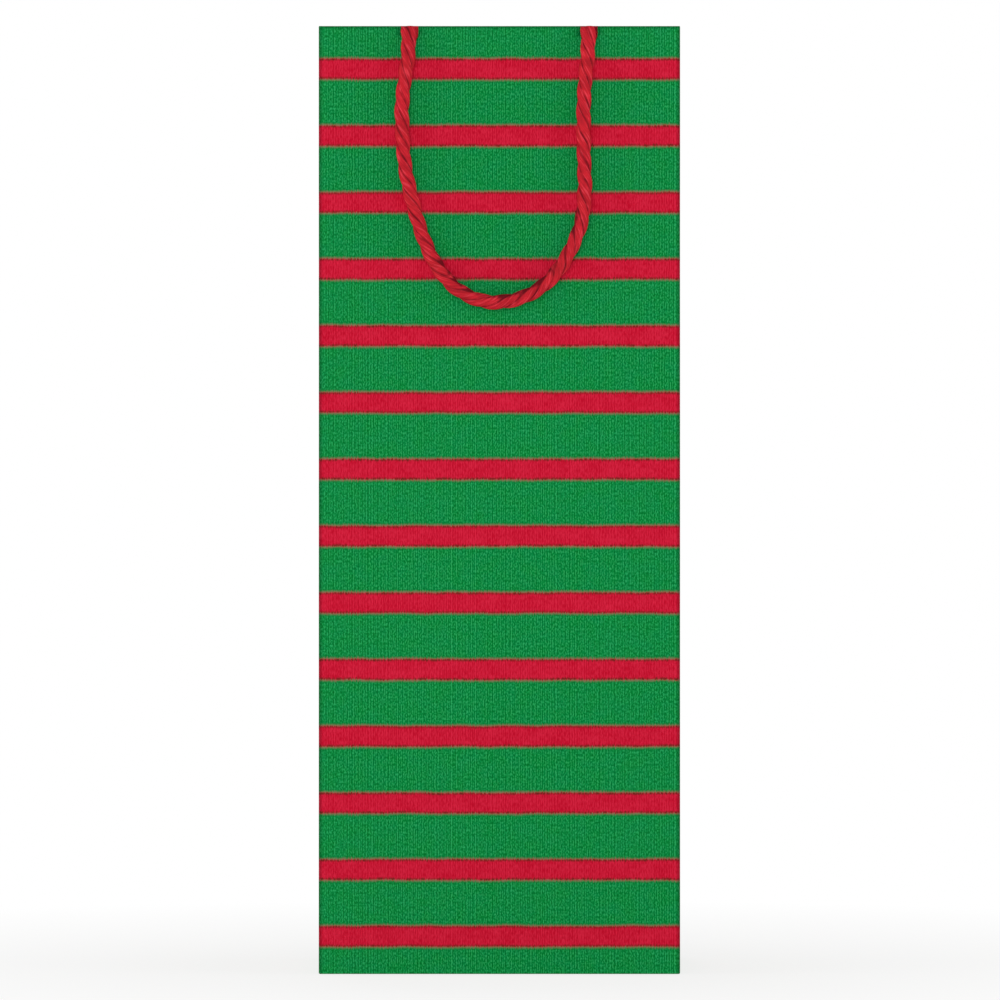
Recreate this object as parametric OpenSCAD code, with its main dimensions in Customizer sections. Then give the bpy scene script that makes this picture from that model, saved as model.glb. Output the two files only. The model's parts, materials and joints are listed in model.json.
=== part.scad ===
// Wine gift bag: a folded paper bag with gusseted sides, a turned and stiffened top,
// a loose base card and two twisted cord handles that come out of the top fold.
// The origin is the middle of the base, +Z is up and the front wall faces -Y.

/* [Bag] */
// Width of the front and back walls
bag_w = 127; // [110:1:150]
// Height of the bag
bag_h = 333; // [280:1:400]
// Depth from the front wall to the back wall
bag_d = 90; // [80:1:110]

/* [Paper] */
// Thickness of the printed paper
paper_t = 0.3; // [0.2:0.05:0.4]
// How far the centre crease of each gusset stands in
gusset_pinch = 3; // [1:0.5:5]
// Width of the glued seam inside the back wall
glue_flap_w = 14; // [8:1:20]
// Gap between folded layers that only lie beside each other
fold_gap = 0.2; // [0.1:0.05:0.3]

/* [Bottom] */
// How far the two long bottom flaps lap over each other
bottom_lap = 22; // [12:1:30]
// How far the side bottom flaps reach in from the gussets
side_flap_l = 38; // [25:1:45]
// How much each end of a bottom flap tapers
flap_taper = 6; // [3:1:10]
// Thickness of the loose base card
base_card_t = 1.2; // [0.8:0.1:2]
// Corner radius of the base card
base_card_r = 3; // [1:0.5:6]
// Gap round the base card, where it passes the turned top
base_card_gap = 0.7; // [0.5:0.1:2]

/* [Turned top] */
// How far the top edge is turned in
hem_h = 40; // [35:1:60]
// Thickness of the stiffening card inside the turned top
hem_card_t = 1; // [0.8:0.1:1.5]
// Height of the stiffening card
hem_card_h = 34; // [30:1:35]
// Gap between the ends of the stiffening card and the gussets
hem_card_gap = 2; // [1:0.5:4]

/* [Handles] */
// Diameter of the cord
cord_d = 5.2; // [4:0.1:6]
// Gap between the cord and what it moves past
cord_gap = 0.3; // [0.2:0.05:0.5]
// Gap between the cord and the notch that it leaves by
notch_gap = 0.4; // [0.3:0.05:0.8]
// How far the top of the cord lies below the top edge
cord_sink = 0.2; // [0:0.1:1]
// Width of the pressed end of the cord
cord_end_w = 8; // [6.5:0.5:10]
// Length of the pressed end of the cord
cord_end_l = 15; // [12:1:18]
// Length of the barb on the end of the cord
barb_l = 20; // [14:1:26]
// Height of the barb
barb_h = 4; // [3:0.5:6]
// Gap round the cord's end and its barb in the stiffening card
slot_gap = 0.2; // [0.1:0.05:0.4]
// How far a handle leans past upright, to meet the other above the mouth
handle_lean = 25; // [10:1:25]

/* [Hidden] */
$fn = 48;

PRINT_GREEN = "#138741";
PAPER_WHITE = "#f2f0ea";
CARD_GREY = "#b9b4a8";
CORD_RED = "#c41c2c";
BARB_STEEL = "#b8bcc0";

// Walls: the inner faces of the front and back walls, and of the turned top
half_w = bag_w / 2;
half_d = bag_d / 2;
wall_in = half_d - paper_t;
side_in = half_w - paper_t;
pocket_in = wall_in - hem_card_t;
hem_in = pocket_in - paper_t;
fold_mid = half_d - (half_d - hem_in) / 2;

// Bottom: the layers rise one paper thickness at a time
floor_z = 3 * paper_t;
lap_step = 3;

// Cord: its hinge axis runs along X, in front of the wall and just under the top edge
cord_r = cord_d / 2;
hinge_y = half_d + cord_gap + cord_r;
hinge_z = bag_h - cord_sink - cord_r;
notch_r = cord_r + notch_gap;
cord_end_top = 0.6 * cord_r;
barb_z = hinge_z - cord_end_l - barb_h;

// Route of the hanging loop: across, and down from the hinge axis
loop_route = [
    [-31.5, 0], [-32, 8], [-33.3, 16.5], [-34.2, 26], [-34, 36], [-33.2, 46], [-31.6, 54.5],
    [-29.2, 64], [-26.2, 73], [-22, 81.5], [-16, 88.8], [-8.5, 93.1], [-1, 94.3], [7.5, 92.8],
    [15, 88.8], [20.8, 82.8], [25.4, 75], [28.8, 65.8], [29.9, 55], [29.7, 45], [29.5, 34],
    [29.6, 24], [30.2, 15], [31, 7.5], [31.5, 0]
];
loop_sides = 10;
cap_angles = [30, 60, 82];
notch_xs = [loop_route[0].x, loop_route[len(loop_route) - 1].x];

// Base card: it clears the creases of the gussets and the cord's ends on its way out
base_card_w = 2 * (side_in - gusset_pinch - paper_t - base_card_gap);
base_card_d = 2 * (fold_mid - cord_r - base_card_gap);

// Direction of the loop's route at one of its points
function heading(route, i) =
    let (step = route[min(i + 1, len(route) - 1)] - route[max(i - 1, 0)])
    step / norm(step);

// Stations of the tube as [point, direction, radius], with a round cap on each end
function cap_stations(point, out, direction, angles) =
    [for (a = angles) [point + cord_r * sin(a) * out, direction, cord_r * cos(a)]];

function tube_stations(route) =
    let (
        last = len(route) - 1,
        first_way = heading(route, 0),
        last_way = heading(route, last)
    )
    concat(
        [for (i = [len(cap_angles) - 1:-1:0])
            cap_stations(route[0], -first_way, first_way, [cap_angles[i]])[0]],
        [for (i = [0:last]) [route[i], heading(route, i), cord_r]],
        cap_stations(route[last], last_way, last_way, cap_angles)
    );

// The swept tube, in the plane y = 0, with z measured up from the hinge axis
module swept_cord(route) {
    stations = tube_stations(route);
    last = len(stations) - 1;
    points = [
        for (s = stations) for (k = [0:loop_sides - 1])
            let (
                turn = 360 * k / loop_sides,
                side = s[2] * cos(turn),
                centre = s[0] + side * [-s[1].y, s[1].x]
            )
            [centre.x, s[2] * sin(turn), -centre.y]
    ];
    faces = concat(
        [[for (k = [loop_sides - 1:-1:0]) k]],
        [
            for (i = [0:last - 1]) for (k = [0:loop_sides - 1]) for (half = [0, 1])
                let (
                    a = i * loop_sides + k,
                    b = i * loop_sides + (k + 1) % loop_sides,
                    c = a + loop_sides,
                    d = b + loop_sides
                )
                half == 0 ? [a, b, d] : [a, d, c]
        ],
        [[for (k = [0:loop_sides - 1]) last * loop_sides + k]]
    );
    polyhedron(points, faces, convexity = 6);
}

// Turns a piece of the front round to the back
module at_back() {
    rotate([0, 0, 180]) children();
}

// The round-ended notches that the cord leaves the fold by
module cord_notches() {
    depth = half_d - hem_in + 2 * fold_gap;
    for (x = notch_xs)
        translate([x, -half_d - fold_gap, hinge_z]) {
            rotate([-90, 0, 0]) cylinder(r = notch_r, h = depth);
            translate([-notch_r, 0, 0]) cube([2 * notch_r, depth, bag_h]);
        }
}

module wall_panel() {
    difference() {
        translate([-half_w, -half_d, 0]) cube([bag_w, paper_t, bag_h]);
        cord_notches();
    }
}

// A gusset: its centre crease stands in, down to where the two slanting creases of the foot meet it
module gusset() {
    function layer(x) = [
        [x, -wall_in, 0], [x, wall_in, 0], [x, wall_in, bag_h],
        [x + gusset_pinch, 0, bag_h], [x, -wall_in, bag_h], [x + gusset_pinch, 0, wall_in]
    ];
    polyhedron(
        points = concat(layer(-half_w), layer(-side_in)),
        faces = [
            [0, 1, 5], [0, 5, 3, 4], [1, 2, 3, 5],
            [6, 11, 7], [6, 10, 9, 11], [7, 11, 9, 8],
            [0, 6, 7, 1], [1, 7, 8, 2], [2, 8, 9, 3], [3, 9, 10, 4], [4, 10, 6, 0]
        ],
        convexity = 4
    );
}

// The turned top of a gusset lies against its inner face, along the same crease
module gusset_hem() {
    reach = hem_in - fold_gap;
    crease_x = -side_in + gusset_pinch;
    edge_x = crease_x - gusset_pinch * reach / wall_in;
    translate([0, 0, bag_h - hem_h])
        linear_extrude(hem_h) polygon([
            [edge_x, -reach], [crease_x, 0], [edge_x, reach],
            [edge_x + paper_t, reach], [crease_x + paper_t, 0], [edge_x + paper_t, -reach]
        ]);
}

// A bottom flap seen from above: from its crease at y = 0 to its free edge
module flap_outline(width, reach) {
    polygon([
        [-width / 2, 0], [width / 2, 0],
        [width / 2 - flap_taper, reach], [-width / 2 + flap_taper, reach]
    ]);
}

module long_flap(reach) {
    linear_extrude(paper_t) flap_outline(2 * (side_in - fold_gap), reach);
}

module side_flap() {
    rise = gusset_pinch * floor_z / wall_in;
    translate([-side_in + rise, 0, 2 * paper_t])
        rotate([0, 0, -90])
            linear_extrude(paper_t) flap_outline(2 * (wall_in - fold_gap), side_flap_l);
}

// The turned top of a wall: over the stiffening card and down its inner face
module wall_hem() {
    width = 2 * (side_in - fold_gap);
    difference() {
        translate([-width / 2, 0, 0])
            rotate([90, 0, 90])
                linear_extrude(width) polygon([
                    [-wall_in, bag_h], [-hem_in, bag_h], [-hem_in, bag_h - hem_h],
                    [-pocket_in, bag_h - hem_h], [-pocket_in, bag_h - paper_t], [-wall_in, bag_h - paper_t]
                ]);
        cord_notches();
    }
}

// A stiffening card, with a slot from its top edge for each cord's end and a cross slot for its barb
module hem_card() {
    width = 2 * (side_in - hem_card_gap);
    top = bag_h - paper_t;
    slot_w = cord_end_w + 2 * slot_gap;
    cross_w = barb_l + 2 * slot_gap;
    difference() {
        translate([-width / 2, -wall_in, top - hem_card_h]) cube([width, hem_card_t, hem_card_h]);
        for (x = notch_xs) {
            translate([x - slot_w / 2, -half_d, barb_z]) cube([slot_w, 2 * hem_card_t + paper_t, bag_h]);
            translate([x - cross_w / 2, -half_d, barb_z - slot_gap])
                cube([cross_w, 2 * hem_card_t + paper_t, barb_h + 2 * slot_gap]);
        }
    }
}

// A cord's end: round in the notch, then pressed flat and spread inside the turned top
module cord_end(x) {
    translate([x, 0, hinge_z]) {
        difference() {
            translate([0, -fold_mid, 0]) sphere(r = cord_r);
            translate([-cord_d, -half_d - cord_d, -cord_d]) cube([2 * cord_d, cord_d, 2 * cord_d]);
            translate([0, -hinge_y, 0])
                rotate([-handle_lean, 0, 0])
                    cylinder(r = cord_r + cord_gap, h = 3 * cord_d);
        }
        translate([0, -pocket_in, 0])
            rotate([90, 0, 0])
                linear_extrude(hem_card_t) polygon([
                    [-cord_r, -cord_end_top], [cord_r, -cord_end_top],
                    [cord_end_w / 2, -notch_r - cord_r], [cord_end_w / 2, -cord_end_l],
                    [-cord_end_w / 2, -cord_end_l], [-cord_end_w / 2, -notch_r - cord_r]
                ]);
    }
}

// A barb: a round-ended bar across the cord's end
module barb(x) {
    straight = barb_l - barb_h;
    translate([x, -pocket_in, barb_z + barb_h / 2])
        rotate([90, 0, 0])
            linear_extrude(hem_card_t) {
                square([straight, barb_h], center = true);
                for (end = [-1, 1]) translate([end * straight / 2, 0]) circle(d = barb_h);
            }
}

module handle() {
    translate([0, -hinge_y, hinge_z]) swept_cord(loop_route);
}

module front_panel() { color(PRINT_GREEN) wall_panel(); }
module back_panel() { color(PRINT_GREEN) at_back() wall_panel(); }
module left_gusset() { color(PRINT_GREEN) gusset(); }
module right_gusset() { color(PRINT_GREEN) at_back() gusset(); }

// The seam runs inside the back wall, between the bottom flaps and the turned top
module glue_flap() {
    height = bag_h - hem_h - fold_gap - floor_z - fold_gap;
    color(PAPER_WHITE)
        translate([-side_in + fold_gap, wall_in - paper_t, floor_z + fold_gap])
            cube([glue_flap_w, paper_t, height]);
}

// The front flap lies level with the back one and steps up over it where they lap
module front_bottom_flap() {
    level = wall_in - bottom_lap / 2 - fold_gap;
    color(PRINT_GREEN)
        translate([0, -wall_in, 0]) {
            intersection() {
                long_flap(wall_in + bottom_lap / 2);
                translate([-bag_w, 0, 0]) cube([2 * bag_w, level, bag_h]);
            }
            translate([0, 0, paper_t])
                intersection() {
                    long_flap(wall_in + bottom_lap / 2);
                    translate([-bag_w, level - lap_step, 0]) cube([2 * bag_w, bag_d, bag_h]);
                }
        }
}

module back_bottom_flap() {
    color(PRINT_GREEN) at_back() translate([0, -wall_in, 0]) long_flap(wall_in + bottom_lap / 2);
}

module left_bottom_flap() { color(PRINT_GREEN) side_flap(); }
module right_bottom_flap() { color(PRINT_GREEN) at_back() side_flap(); }
module front_hem() { color(PRINT_GREEN) wall_hem(); }
module back_hem() { color(PRINT_GREEN) at_back() wall_hem(); }
module left_hem() { color(PRINT_GREEN) gusset_hem(); }
module right_hem() { color(PRINT_GREEN) at_back() gusset_hem(); }
module front_hem_card() { color(CARD_GREY) hem_card(); }
module back_hem_card() { color(CARD_GREY) at_back() hem_card(); }

module base_card() {
    color(PAPER_WHITE)
        translate([0, 0, floor_z])
            linear_extrude(base_card_t) {
                square([base_card_w - 2 * base_card_r, base_card_d], center = true);
                square([base_card_w, base_card_d - 2 * base_card_r], center = true);
                for (x = [-1, 1]) for (y = [-1, 1])
                    translate([x * (base_card_w / 2 - base_card_r), y * (base_card_d / 2 - base_card_r)])
                        circle(r = base_card_r);
            }
}

module front_handle() { color(CORD_RED) handle(); }
module back_handle() { color(CORD_RED) at_back() handle(); }
module front_left_cord_end() { color(CORD_RED) cord_end(notch_xs[0]); }
module front_right_cord_end() { color(CORD_RED) cord_end(notch_xs[1]); }
module back_left_cord_end() { color(CORD_RED) at_back() cord_end(notch_xs[1]); }
module back_right_cord_end() { color(CORD_RED) at_back() cord_end(notch_xs[0]); }
module front_left_barb() { color(BARB_STEEL) barb(notch_xs[0]); }
module front_right_barb() { color(BARB_STEEL) barb(notch_xs[1]); }
module back_left_barb() { color(BARB_STEEL) at_back() barb(notch_xs[1]); }
module back_right_barb() { color(BARB_STEEL) at_back() barb(notch_xs[0]); }

front_panel();
back_panel();
left_gusset();
right_gusset();
glue_flap();
front_bottom_flap();
back_bottom_flap();
left_bottom_flap();
right_bottom_flap();
front_hem();
back_hem();
left_hem();
right_hem();
front_hem_card();
back_hem_card();
base_card();
front_handle();
back_handle();
front_left_cord_end();
front_right_cord_end();
back_left_cord_end();
back_right_cord_end();
front_left_barb();
front_right_barb();
back_left_barb();
back_right_barb();
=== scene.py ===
"""Wine gift bag: a folded paper bag with a printed ribbon stripe, a turned top and twisted cord handles."""

import json
import math
from functools import partial

import bpy
import numpy as np
from bpy.props import FloatProperty, FloatVectorProperty, PointerProperty
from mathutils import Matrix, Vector


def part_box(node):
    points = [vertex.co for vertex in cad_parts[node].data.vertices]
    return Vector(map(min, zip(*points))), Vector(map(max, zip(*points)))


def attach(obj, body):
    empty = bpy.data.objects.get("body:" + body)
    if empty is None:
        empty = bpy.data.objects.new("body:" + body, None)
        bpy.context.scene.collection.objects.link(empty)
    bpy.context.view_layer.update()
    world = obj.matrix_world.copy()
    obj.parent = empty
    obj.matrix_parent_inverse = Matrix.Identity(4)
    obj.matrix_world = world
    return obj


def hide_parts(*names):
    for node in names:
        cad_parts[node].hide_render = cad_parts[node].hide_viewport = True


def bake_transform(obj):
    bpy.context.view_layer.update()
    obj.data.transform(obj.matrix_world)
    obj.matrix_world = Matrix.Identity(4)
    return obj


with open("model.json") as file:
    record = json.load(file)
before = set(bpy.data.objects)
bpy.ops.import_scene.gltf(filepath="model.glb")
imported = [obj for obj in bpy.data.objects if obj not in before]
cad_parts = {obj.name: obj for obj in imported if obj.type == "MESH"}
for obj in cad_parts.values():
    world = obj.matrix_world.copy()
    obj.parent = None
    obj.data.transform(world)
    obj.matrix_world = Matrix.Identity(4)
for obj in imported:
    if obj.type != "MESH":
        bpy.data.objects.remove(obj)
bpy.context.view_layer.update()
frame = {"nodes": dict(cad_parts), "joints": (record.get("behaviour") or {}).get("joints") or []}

bl_info = {
    "name": "Wine gift bag",
    "version": (1, 0, 0),
    "blender": (4, 5, 0),
    "location": "View3D > Sidebar > Gift bag",
    "description": "Dresses the frame of a paper gift bag with its printed sheet, cards and cord handles",
    "category": "Add Mesh",
}

MM = 0.001

# Angles: a quarter turn, and half of the turn round a corner crease
QUARTER = math.pi / 2
HALF_CORNER = QUARTER / 2

# Sizes that the frame gives
PANEL_LOW, PANEL_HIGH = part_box("front_panel")
GUSSET_LOW, GUSSET_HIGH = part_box("right_gusset")
HEM_LOW, HEM_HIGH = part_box("front_hem")
HALF_W = PANEL_HIGH.x
HALF_D = -PANEL_LOW.y
HEIGHT = PANEL_HIGH.z
PAPER = PANEL_HIGH.y - PANEL_LOW.y
HEM_FOOT = HEM_LOW.z
WALL_FOLD = (HEM_HIGH.y - PANEL_LOW.y) / 2
SIDE_FOLD = PAPER
FOLD_Y = WALL_FOLD - HALF_D
CREASE_REACH = GUSSET_HIGH.y
PINCH = GUSSET_HIGH.x - GUSSET_LOW.x - PAPER
HINGES = {joint["name"]: Vector(joint["pos_m"]) for joint in frame["joints"] if joint["type"] == "hinge"}
HINGE = HINGES["front_handle_swing"]

# Opposite sides of the bag, each with its quarter turns from the front
WALLS = (("front", 0), ("back", 2))
GUSSETS = (("right", 1), ("left", 3))

# Route of the hanging loop: across, and down from the hinge axis
LOOP_ROUTE = [
    (-0.0315, 0.0), (-0.032, 0.008), (-0.0333, 0.0165), (-0.0342, 0.026), (-0.034, 0.036),
    (-0.0332, 0.046), (-0.0316, 0.0545), (-0.0292, 0.064), (-0.0262, 0.073), (-0.022, 0.0815),
    (-0.016, 0.0888), (-0.0085, 0.0931), (-0.001, 0.0943), (0.0075, 0.0928), (0.015, 0.0888),
    (0.0208, 0.0828), (0.0254, 0.075), (0.0288, 0.0658), (0.0299, 0.055), (0.0297, 0.045),
    (0.0295, 0.034), (0.0296, 0.024), (0.0302, 0.015), (0.031, 0.0075), (0.0315, 0.0),
]
NOTCH_XS = (LOOP_ROUTE[0][0], LOOP_ROUTE[-1][0])
PATH_STEP = 0.55 * MM
ROPE_SIDES = 36
# Height above the groove, as a share, from which a ply shows its full colour, free of the groove's painted
# shade
FULL_CREST = 0.7

# What all colour settings share
RGBA = {"size": 4, "min": 0, "max": 1}


def linear(hex_colour):
    """Linear RGBA of an sRGB hex colour."""
    channels = [int(hex_colour[i:i + 2], 16) / 255 for i in (1, 3, 5)]
    return (*[c / 12.92 if c <= 0.04045 else ((c + 0.055) / 1.055) ** 2.4 for c in channels], 1.0)


class PaperSettings(bpy.types.PropertyGroup):
    """The folded sheet: its creases, its print and its colours"""

    crease_radius: FloatProperty(
        name="Crease radius", description="Outer radius of the bag's upright corner creases",
        default=0.75 * MM, min=0.5 * MM, max=1.5 * MM, unit="LENGTH")
    foot_radius: FloatProperty(
        name="Foot radius", description="Outer radius of the creases round the bottom",
        default=0.5 * MM, min=0.3 * MM, max=1 * MM, unit="LENGTH")
    bulge: FloatProperty(
        name="Bulge", description="How far the front and back walls belly out below the handles",
        default=2 * MM, min=0, max=3 * MM, unit="LENGTH")
    ripple: FloatProperty(
        name="Ripple", description="Depth of the slack ripples in the paper",
        default=0.3 * MM, min=0, max=1 * MM, unit="LENGTH")
    notch_radius: FloatProperty(
        name="Notch radius", description="Radius of the notches in the top fold that the cord leaves by",
        default=3 * MM, min=2.7 * MM, max=4 * MM, unit="LENGTH")
    stripe_pitch: FloatProperty(
        name="Stripe pitch", description="Distance from one stripe to the next",
        default=23.43 * MM, min=5 * MM, max=80 * MM, unit="LENGTH")
    stripe_width: FloatProperty(
        name="Stripe width", description="Height of a stripe",
        default=7.65 * MM, min=1 * MM, max=40 * MM, unit="LENGTH")
    stripe_start: FloatProperty(
        name="Lowest stripe", description="Height of the middle of the lowest stripe above the bottom",
        default=13.26 * MM, min=0, max=80 * MM, unit="LENGTH")
    rib_pitch: FloatProperty(
        name="Rib pitch", description="Distance between the printed ribs of the ribbon",
        default=1.3 * MM, min=0.3 * MM, max=4 * MM, unit="LENGTH")
    cross_thread: FloatProperty(
        name="Cross threads", description="Distance between the printed threads along a rib",
        default=0.85 * MM, min=0.3 * MM, max=4 * MM, unit="LENGTH")
    edge_wave: FloatProperty(
        name="Edge wave", description="How far the edges of the stripes wander",
        default=0.17 * MM, min=0, max=2 * MM, unit="LENGTH")
    green_light: FloatVectorProperty(
        name="Light green", description="Crest of a green rib",
        subtype="COLOR", default=linear("#089a4c"), **RGBA)
    green_pale: FloatVectorProperty(
        name="Pale green", description="Brightest flecks of a green rib",
        subtype="COLOR", default=linear("#2aa85f"), **RGBA)
    green_dark: FloatVectorProperty(
        name="Dark green", description="Groove between two green ribs",
        subtype="COLOR", default=linear("#007430"), **RGBA)
    red_light: FloatVectorProperty(
        name="Light red", description="Crest of a red rib",
        subtype="COLOR", default=linear("#dd2342"), **RGBA)
    red_dark: FloatVectorProperty(
        name="Dark red", description="Groove between two red ribs",
        subtype="COLOR", default=linear("#c6092b"), **RGBA)
    edge_thread: FloatVectorProperty(
        name="Edge thread", description="Dotted thread along the edges of the stripes",
        subtype="COLOR", default=linear("#7a7a5a"), **RGBA)
    edge_shade: FloatVectorProperty(
        name="Edge shade", description="Dark dashes just inside each stripe",
        subtype="COLOR", default=linear("#70241c"), **RGBA)
    paper_white: FloatVectorProperty(
        name="Paper", description="The sheet's bare inner face",
        subtype="COLOR", default=linear("#f0eee8"), **RGBA)


class CordSettings(bpy.types.PropertyGroup):
    """The twisted cord of the handles"""

    diameter: FloatProperty(
        name="Diameter", description="Diameter over the three plies",
        default=5.2 * MM, min=3 * MM, max=8 * MM, unit="LENGTH")
    lay: FloatProperty(
        name="Lay", description="Length of one full turn of a ply",
        default=22 * MM, min=8 * MM, max=60 * MM, unit="LENGTH")
    bend_radius: FloatProperty(
        name="Bend radius", description="Radius of the cord's middle where it turns over the fold",
        default=2.7 * MM, min=2.6 * MM, max=4 * MM, unit="LENGTH")
    free_length: FloatProperty(
        name="Free length", description="Length of cord from one notch to the other",
        default=227 * MM, min=100 * MM, max=500 * MM, unit="LENGTH")
    crest: FloatVectorProperty(
        name="Crest", description="Crest of a ply",
        subtype="COLOR", default=linear("#d42935"), **RGBA)
    # Painted highlight: the pale sheen colour given to the brightest filaments on the crests
    painted_sheen: FloatVectorProperty(
        name="Gleam", description="Brightest filaments of a ply",
        subtype="COLOR", default=linear("#ee5060"), **RGBA)
    # Painted shade: the colour that stands for the shade in the groove between two plies
    groove: FloatVectorProperty(
        name="Groove", description="Groove between two plies",
        subtype="COLOR", default=linear("#7a1a24"), **RGBA)


class StageSettings(bpy.types.PropertyGroup):
    """The camera, the lamps and the floor"""

    camera_distance: FloatProperty(
        name="Camera distance", description="From the front wall to the camera",
        default=2.4, min=0.5, max=10, unit="LENGTH")
    view_size: FloatProperty(
        name="View size", description="Width and height of the view at the front wall",
        default=351.2 * MM, min=0.1, max=2, unit="LENGTH")
    view_aside: FloatProperty(
        name="View aside", description="How far the middle of the view lies right of the bag's middle",
        default=0.2 * MM, min=-0.1, max=0.1, unit="LENGTH")
    world_strength: FloatProperty(
        name="Sky", description="Strength of the even light from all round",
        default=0.38, min=0, max=2, subtype="FACTOR")
    key_power: FloatProperty(
        name="Key lamp", description="Power of the large soft lamp at the front",
        default=20, min=0, max=500, unit="POWER")
    fill_power: FloatProperty(
        name="Fill lamps", description="Power of each soft lamp at the sides and behind",
        default=7, min=0, max=500, unit="POWER")
    floor_colour: FloatVectorProperty(
        name="Floor", description="Pale floor that the bag stands on",
        subtype="COLOR", default=linear("#f4f4f2"), **RGBA)


GROUPS = {"bag_paper": PaperSettings, "bag_cord": CordSettings, "bag_stage": StageSettings}


def paper_settings():
    return bpy.context.scene.bag_paper


def cord_settings():
    return bpy.context.scene.bag_cord


def stage_settings():
    return bpy.context.scene.bag_stage


# Materials


def add(tree, kind, inputs=(), output=0, **settings):
    """Adds a node with its settings, links or sets its inputs, and returns one of its outputs.

    A socket goes by its name, or by its number where names repeat. A Mix node takes its share at 0 and its
    two colours at 6 and 7. A MapRange node takes a value at 0, from the range 1 to 2 to the range 3 to 4.
    """
    node = tree.nodes.new("ShaderNode" + kind)
    for name, value in settings.items():
        setattr(node, name, value)
    for socket, value in dict(inputs).items():
        if isinstance(value, bpy.types.NodeSocket):
            tree.links.new(value, node.inputs[socket])
        else:
            node.inputs[socket].default_value = value
    return node.outputs[output] if len(node.outputs) else node


def make_material(name, surface, *details):
    """The material of that name, made at its first use by a function that adds nodes up to the surface."""
    material = bpy.data.materials.get(name)
    if material is None:
        material = bpy.data.materials.new(name)
        material.use_nodes = True
        material.node_tree.nodes.clear()
        node = partial(add, material.node_tree)
        node("OutputMaterial", {0: surface(node, *details)})
    return material


def stripe_edge(node, across, up):
    """Millimetres from the edge of the nearest stripe, below zero inside it, and the place along it."""
    paper = paper_settings()
    pitch, half_stripe, wander = paper.stripe_pitch / MM, paper.stripe_width / MM / 2, paper.edge_wave / MM
    raised = node("Math", {0: up, 1: paper.stripe_start / MM}, operation="SUBTRACT")
    turns = node("Math", {0: raised, 1: pitch}, operation="DIVIDE")
    number = node("Math", {0: turns}, operation="ROUND")
    beside = node("Math", {0: turns, 1: number}, operation="SUBTRACT")
    away = node("Math", {0: beside}, operation="ABSOLUTE")
    edge = node("Math", {0: away, 1: pitch, 2: -half_stripe}, operation="MULTIPLY_ADD")
    # Each edge has a lane of its own in the noise, so that no two wander alike
    lane_gap, wave_length, wave_lane = 5.3, 9, 1.7
    side = node("Math", {0: beside}, operation="SIGN")
    lane = node("Math", {0: number, 1: lane_gap, 2: side}, operation="MULTIPLY_ADD")
    edge_place = node("CombineXYZ", {0: across, 1: lane})
    wave_place = node("VectorMath", {0: edge_place, 1: (1 / wave_length, wave_lane, 0)}, operation="MULTIPLY")
    wave = node("TexNoise", {"Vector": wave_place, "Scale": 1, "Detail": 1}, noise_dimensions="2D")
    wave = node("MapRange", {0: wave, 1: 0.2, 2: 0.8, 3: -wander, 4: wander})
    return node("Math", {0: edge, 1: wave}, operation="ADD"), edge_place


def crease_wear_and_shade(node, sheet, across, up, colour):
    """The print's colour, rubbed paler along the gussets' creases, with painted shade darkening it at the
    bag's folds.
    """
    # Distance from a gusset's nearest crease: the upright one, or a slanting one at the foot
    quarter, reach, rub_size = sheet_quarter() / MM, CREASE_REACH / MM, 3
    aside = node("Math", {0: across, 1: quarter}, operation="ADD")
    aside = node("Math", {0: aside, 1: quarter}, operation="PINGPONG")
    below = node("Math", {0: reach, 1: up}, operation="SUBTRACT")
    upright = node("Math", {0: aside, 1: below}, operation="MAXIMUM")
    slant = node("Math", {0: aside, 1: below}, operation="SUBTRACT")
    slant = node("Math", {0: slant}, operation="ABSOLUTE")
    outside = node("Math", {0: aside, 1: reach}, operation="SUBTRACT")
    slant = node("Math", {0: slant, 1: outside}, operation="MAXIMUM")
    crease = node("Math", {0: upright, 1: slant}, operation="MINIMUM")
    worn = node("TexNoise", {"Vector": sheet, "Scale": 1 / rub_size, "Detail": 2}, noise_dimensions="2D")
    worn = node("MapRange", {0: worn, 1: 0.35, 2: 0.7, 3: 0.05, 4: 0.24})
    rub = node("MapRange", {0: crease, 1: 0.1, 2: 0.7, 3: 1, 4: 0})
    rub = node("Math", {0: rub, 1: worn}, operation="MULTIPLY")
    colour = node("Mix", {0: rub, 6: colour, 7: paper_settings().paper_white}, 2, data_type="RGBA")

    # At the corner creases and the top fold the colour is darkened: painted shade along the bag's folded
    # edges
    bends = []
    for place, bend in ((up, HEIGHT / MM), (aside, flat_half(HALF_D) / MM)):
        away = node("Math", {0: place, 1: bend}, operation="SUBTRACT")
        bends.append(node("Math", {0: away}, operation="ABSOLUTE"))
    pressed = node("Math", dict(enumerate(bends)), operation="MINIMUM")
    pressed = node("MapRange", {0: pressed, 1: 0.5, 2: 1.3, 3: 0.62, 4: 1})
    return node("VectorMath", {0: colour, "Scale": pressed}, operation="SCALE")


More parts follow.
